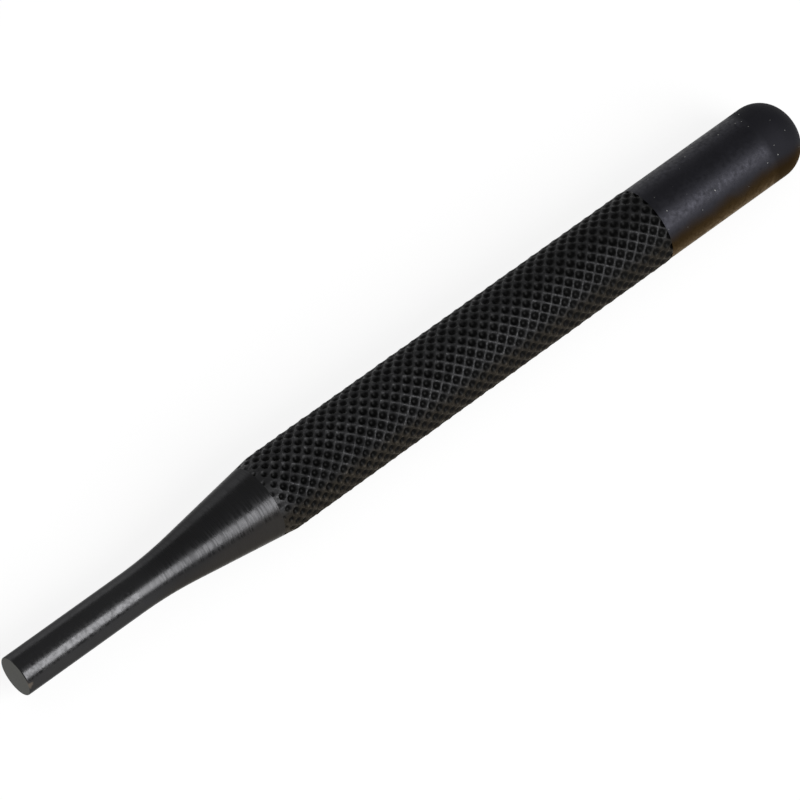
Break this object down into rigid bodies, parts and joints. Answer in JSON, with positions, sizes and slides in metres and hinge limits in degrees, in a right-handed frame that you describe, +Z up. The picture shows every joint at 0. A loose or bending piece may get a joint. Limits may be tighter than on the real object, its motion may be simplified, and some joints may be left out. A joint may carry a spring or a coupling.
{
  "type": "pin punch",
  "caption": "Round steel hand punch with a straight drift pin, hollow taper, diamond-knurled grip and plain crowned head for striking with a hammer.",
  "frame": {"origin": "on the ground under the middle of the punch, which lies on its side on the ridges of its knurl", "axes": "+X along the bar from the pin to the head, +Z up"},
  "size_m": [0.0982, 0.0082, 0.0082],
  "materials": {
    "pin_steel": "black oxide over a ground pin, satin",
    "taper_steel": "black oxide over fine turning marks, satin",
    "knurl_steel": "black oxide over a rolled knurl of crossed ridges and sunken diamonds",
    "head_steel": "black oxide over the drawn bar, matt"
  },
  "bodies": {
    "root": {"pin": "pin_steel", "taper": "taper_steel", "knurled_grip": "knurl_steel", "head": "head_steel"}
  },
  "joints": []
}
